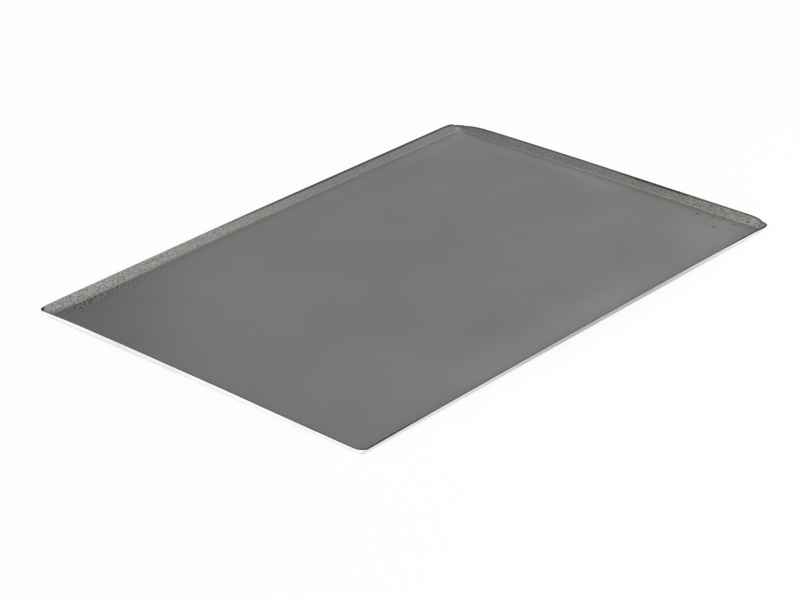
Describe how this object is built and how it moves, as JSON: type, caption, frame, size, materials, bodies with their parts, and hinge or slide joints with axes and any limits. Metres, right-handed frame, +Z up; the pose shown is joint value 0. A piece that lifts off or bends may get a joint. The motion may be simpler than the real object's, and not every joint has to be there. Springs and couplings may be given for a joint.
{
  "type": "baking sheet",
  "caption": "Flat rectangular baking sheet of dark satin steel plate with low edges that lean outwards and rounded corners where the rim dips.",
  "frame": {"origin": "middle of the flat underside, on the surface that the sheet rests on", "axes": "+Z up, X along the long sides, Y along the short sides"},
  "size_m": [0.6, 0.4, 0.01],
  "materials": {
    "satin_dark_steel": "fine satin grain, dark grey, as on oiled carbon steel plate"
  },
  "bodies": {
    "root": {"baking_sheet": "satin_dark_steel"}
  },
  "joints": []
}
